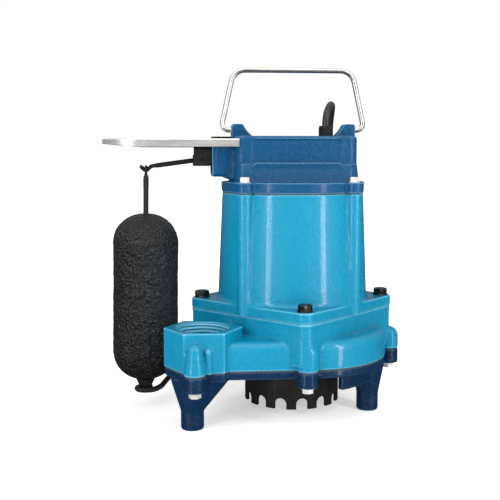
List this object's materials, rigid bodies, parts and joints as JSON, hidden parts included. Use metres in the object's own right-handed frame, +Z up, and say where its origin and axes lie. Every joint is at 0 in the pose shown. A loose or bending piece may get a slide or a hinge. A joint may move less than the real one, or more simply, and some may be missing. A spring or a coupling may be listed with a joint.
{
  "type": "submersible sump pump",
  "caption": "Submersible sump pump with a cast motor barrel, scroll casing, upright threaded outlet, side float on a switch lever, carrying bail and power cord.",
  "frame": {"origin": "centre of the pump's footprint, without its cord, on the floor that its three feet stand on", "axes": "+Z up along the motor's shaft, +X to the right away from the float, +Y to the back"},
  "size_m": [0.2904, 0.3249, 0.3302],
  "materials": {
    "casing_paint": "gloss enamel over a cast surface",
    "cap_paint": "gloss enamel over a cast surface",
    "base_paint": "gloss enamel over a cast surface",
    "black_moulding": "moulded satin",
    "float_skin": "rough pebbled moulding",
    "dark_steel": "blackened, worn bright on edges",
    "bright_steel": "bright zinc plate",
    "stainless": "polished stainless",
    "cord_rubber": "satin cable sheath",
    "seal_rubber": "satin",
    "plug_moulding": "satin moulded",
    "blade_brass": "bright",
    "gasket": "fibre sheet, held as rubber",
    "laminations": "stacked sheet",
    "copper": "varnished winding wire",
    "bronze": "turned",
    "bracket_iron": "turned",
    "cast_aluminium": "cast",
    "bearing_steel": "ground",
    "ceramic": "lapped, held as plastic",
    "impeller_plastic": "glass-filled moulding",
    "capacitor_case": "moulded"
  },
  "bodies": {
    "casing": {"motor_housing": "casing_paint", "volute_casing": "casing_paint", "base_plate": "base_paint", "base_gasket": "gasket", "suction_strainer": "black_moulding", "strainer_screws": "bright_steel", "flange_bolts": "dark_steel", "cap_screws": "bright_steel", "base_screws": "bright_steel", "flange_seal": "seal_rubber", "top_cap": "cap_paint", "cap_gasket": "gasket", "cord_gland_nut": "black_moulding", "cord_grommet": "seal_rubber", "capacitor": "capacitor_case", "capacitor_clip": "bright_steel", "overload_protector": "black_moulding", "ground_screw": "bright_steel", "stator_core": "laminations", "upper_winding": "copper", "lower_winding": "copper", "upper_bearing_bracket": "bracket_iron", "bearing_bracket": "bracket_iron", "sleeve_bearing": "bronze", "bearing_outer_race": "bearing_steel", "seal_seat": "ceramic", "switch_housing": "black_moulding", "switch_boot": "seal_rubber", "lever_pin": "stainless", "micro_switch": "black_moulding", "rod_guide": "black_moulding", "float_guard": "stainless", "guard_clamp": "dark_steel", "guard_screws": "bright_steel", "power_cord": "cord_rubber", "power_cord_tail": "cord_rubber", "power_cord_coil": "cord_rubber", "coil_ties": "black_moulding", "plug_body": "plug_moulding", "plug_blades": "blade_brass"},
    "rotor": {"motor_shaft": "stainless", "rotor_core": "laminations", "rotor_end_rings": "cast_aluminium", "bearing_inner_race": "bearing_steel", "seal_head": "seal_rubber", "seal_spring": "stainless", "impeller": "impeller_plastic", "impeller_nut": "bright_steel"},
    "bearing_cage": {"bearing_balls": "bearing_steel", "bearing_cage": "bronze"},
    "bail": {"carry_bail": "stainless"},
    "lever": {"switch_lever": "black_moulding"},
    "float": {"float_rod": "black_moulding", "float_body": "float_skin", "float_collar": "black_moulding"},
    "plunger": {"switch_plunger": "black_moulding"}
  },
  "joints": [
    {"name": "shaft_spin", "type": "hinge", "parent": "casing", "child": "rotor", "pos_m": [0.03775, 0.0045, 0.1], "axis": [0, 0, 1], "continuous": true},
    {"name": "bearing_cage_spin", "type": "hinge", "parent": "casing", "child": "bearing_cage", "pos_m": [0.03775, 0.0045, 0.1], "axis": [0, 0, 1], "continuous": true},
    {"name": "bail_swing", "type": "hinge", "parent": "casing", "child": "bail", "pos_m": [0.03775, 0.0045, 0.2708], "axis": [1, 0, 0], "range_deg": [-85, 95]},
    {"name": "lever_swing", "type": "hinge", "parent": "casing", "child": "lever", "pos_m": [-0.05025, 0.0045, 0.2425], "axis": [0, 1, 0], "range_deg": [0, 6.2]},
    {"name": "rod_hang", "type": "hinge", "parent": "lever", "child": "float", "pos_m": [-0.10415, 0.0045, 0.2326], "axis": [0, 1, 0], "range_deg": [-6.3, 0]},
    {"name": "plunger_slide", "type": "slide", "parent": "casing", "child": "plunger", "axis": [0, 0, 1], "range_m": [-0.00175, 0]}
  ],
  "couplings": [
    {"joint": "bearing_cage_spin", "follows": "shaft_spin", "ratio": 0.381},
    {"joint": "rod_hang", "follows": "lever_swing", "ratio": -1},
    {"joint": "plunger_slide", "follows": "lever_swing", "m_per_rad": -0.016}
  ]
}
